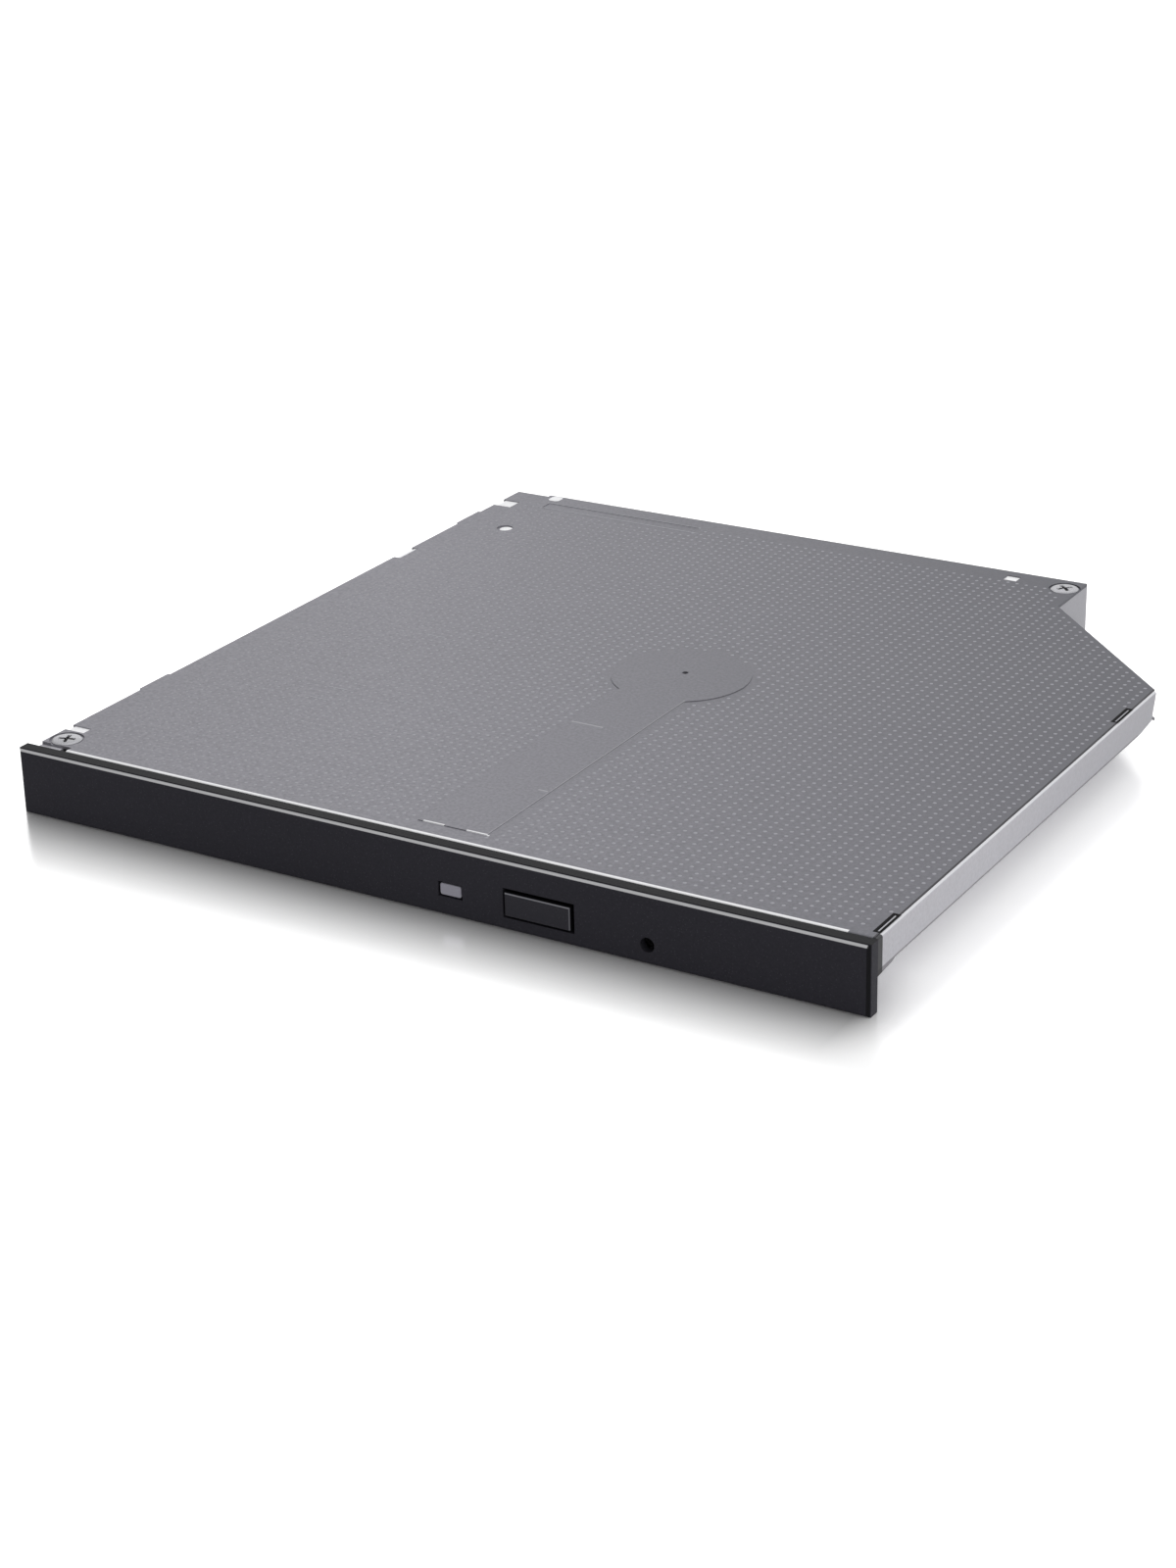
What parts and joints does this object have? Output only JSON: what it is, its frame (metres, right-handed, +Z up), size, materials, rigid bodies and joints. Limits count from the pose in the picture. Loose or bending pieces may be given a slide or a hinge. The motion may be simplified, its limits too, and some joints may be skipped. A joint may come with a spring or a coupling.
{
  "type": "slim optical disc drive",
  "caption": "Slim internal disc drive: flat sheet-metal case with a cut corner and a shallow wing, a dark front panel with eject button, and a tray that slides out on rails",
  "frame": {"origin": "centre of the footprint, on the underside", "axes": "+Z up through the cover, -Y out of the front panel the way the tray opens, +X to the right seen from the front"},
  "size_m": [0.128, 0.1274, 0.0095],
  "materials": {
    "cover_sheet": "satin grey, embossed dots",
    "case_sheet": "bright plated sheet",
    "steel": "ground",
    "shield_sheet": "satin",
    "black_plastic": "fine texture",
    "grey_plastic": "moulded",
    "button_black": "fine texture",
    "lens_clear": "frosted",
    "board_green": "solder mask",
    "chip_black": "matte",
    "socket_plastic": "moulded",
    "flex_film": "polyimide film",
    "contact_gold": "gold plated",
    "rubber": "soft",
    "cast_alloy": "die-cast",
    "bearing_brass": "sintered",
    "winding": "enamelled wire on iron",
    "optic": "polished"
  },
  "bodies": {
    "case": {"base_pan": "case_sheet", "top_cover": "cover_sheet", "cover_screws": "steel", "rail_guide_left": "black_plastic", "rail_guide_right": "black_plastic", "connector_board": "board_green", "rear_plug": "black_plastic", "plug_contacts": "contact_gold", "rear_flex_socket": "socket_plastic", "flat_flex": "flex_film", "latch_post": "steel"},
    "rail_left": {"slide_rail_left": "steel"},
    "rail_right": {"slide_rail_right": "steel"},
    "tray": {"tray_moulding": "grey_plastic", "front_panel": "black_plastic", "lamp_lens": "lens_clear", "lamp": "lens_clear", "front_board": "board_green", "eject_switch": "steel", "main_board": "board_green", "board_chips": "chip_black", "flex_sockets": "socket_plastic", "board_screws": "steel", "front_flex": "flex_film", "tray_shield": "shield_sheet", "mechanism_frame": "case_sheet", "rubber_dampers": "rubber", "damper_screws": "steel", "motor_plate": "case_sheet", "spindle_bearing": "bearing_brass", "motor_core": "winding", "guide_rod_main": "steel", "guide_rod_second": "steel", "stepper_motor": "steel", "mechanism_deck": "shield_sheet", "deck_screws": "steel", "latch_pin": "steel", "eject_solenoid": "steel", "ejector_spring": "steel"},
    "button": {"eject_button": "button_black", "switch_plunger": "chip_black"},
    "spindle": {"rotor": "steel", "disc_seat_ring": "rubber", "hub": "black_plastic"},
    "claw_1": {"hub_claw_1": "black_plastic"},
    "claw_2": {"hub_claw_2": "black_plastic"},
    "claw_3": {"hub_claw_3": "black_plastic"},
    "sled": {"pickup_sled": "cast_alloy", "drive_nut": "socket_plastic", "magnet_yoke": "steel"},
    "lens": {"lens_holder": "chip_black", "objective_lens": "optic"},
    "screw": {"lead_screw": "steel"},
    "latch": {"latch_lever": "socket_plastic"},
    "plunger": {"solenoid_plunger": "steel"},
    "ejector": {"ejector_plunger": "socket_plastic"}
  },
  "joints": [
    {"name": "tray_slide", "type": "slide", "parent": "case", "child": "tray", "axis": [0, -1, 0], "range_m": [0, 0.123], "deforming": ["flat_flex"]},
    {"name": "rail_left_slide", "type": "slide", "parent": "case", "child": "rail_left", "axis": [0, -1, 0], "range_m": [0, 0.0615]},
    {"name": "rail_right_slide", "type": "slide", "parent": "case", "child": "rail_right", "axis": [0, -1, 0], "range_m": [0, 0.0615]},
    {"name": "spindle_spin", "type": "hinge", "parent": "tray", "child": "spindle", "pos_m": [0.0025, 0.00187, 0.004], "axis": [0, 0, 1], "continuous": true},
    {"name": "claw_3_press", "type": "slide", "parent": "spindle", "child": "claw_3", "axis": [0.9659, -0.2588, 0], "range_m": [0, 0.0005], "stiffness_N_per_m": 200},
    {"name": "claw_2_press", "type": "slide", "parent": "spindle", "child": "claw_2", "axis": [-0.7071, -0.7071, 0], "range_m": [0, 0.0005], "stiffness_N_per_m": 200},
    {"name": "claw_1_press", "type": "slide", "parent": "spindle", "child": "claw_1", "axis": [-0.2588, 0.9659, 0], "range_m": [0, 0.0005], "stiffness_N_per_m": 200},
    {"name": "sled_slide", "type": "slide", "parent": "tray", "child": "sled", "axis": [-0.7071, -0.7071, 0], "range_m": [0, 0.0345]},
    {"name": "lead_screw_spin", "type": "hinge", "parent": "tray", "child": "screw", "pos_m": [-0.03229, -0.00576, 0.0039], "axis": [-0.7071, -0.7071, 0], "range_deg": [0, 4200]},
    {"name": "lens_focus", "type": "slide", "parent": "sled", "child": "lens", "axis": [0, 0, 1], "range_m": [-0.0004, 0.0004], "stiffness_N_per_m": 30},
    {"name": "eject_button_press", "type": "slide", "parent": "tray", "child": "button", "axis": [0, 1, 0], "range_m": [0, 0.0004], "stiffness_N_per_m": 800},
    {"name": "latch_turn", "type": "hinge", "parent": "tray", "child": "latch", "pos_m": [0.032, -0.03633, 0.0037], "axis": [0, 0, -1], "range_deg": [0, 12.5]},
    {"name": "solenoid_pull", "type": "slide", "parent": "tray", "child": "plunger", "axis": [-1, 0, 0], "range_m": [0, 0.00126], "stiffness_N_per_m": 56},
    {"name": "ejector_push", "type": "slide", "parent": "tray", "child": "ejector", "axis": [0, 1, 0], "range_m": [0, 0.007], "deforming": ["ejector_spring"]}
  ],
  "couplings": [
    {"joint": "rail_left_slide", "follows": "tray_slide", "ratio": 0.5},
    {"joint": "rail_right_slide", "follows": "tray_slide", "ratio": 0.5},
    {"joint": "ejector_push", "follows": "tray_slide", "ratio": 0.05691},
    {"joint": "lead_screw_spin", "follows": "sled_slide", "rad_per_m": 2094.4},
    {"joint": "latch_turn", "follows": "solenoid_pull", "rad_per_m": 166.67}
  ]
}
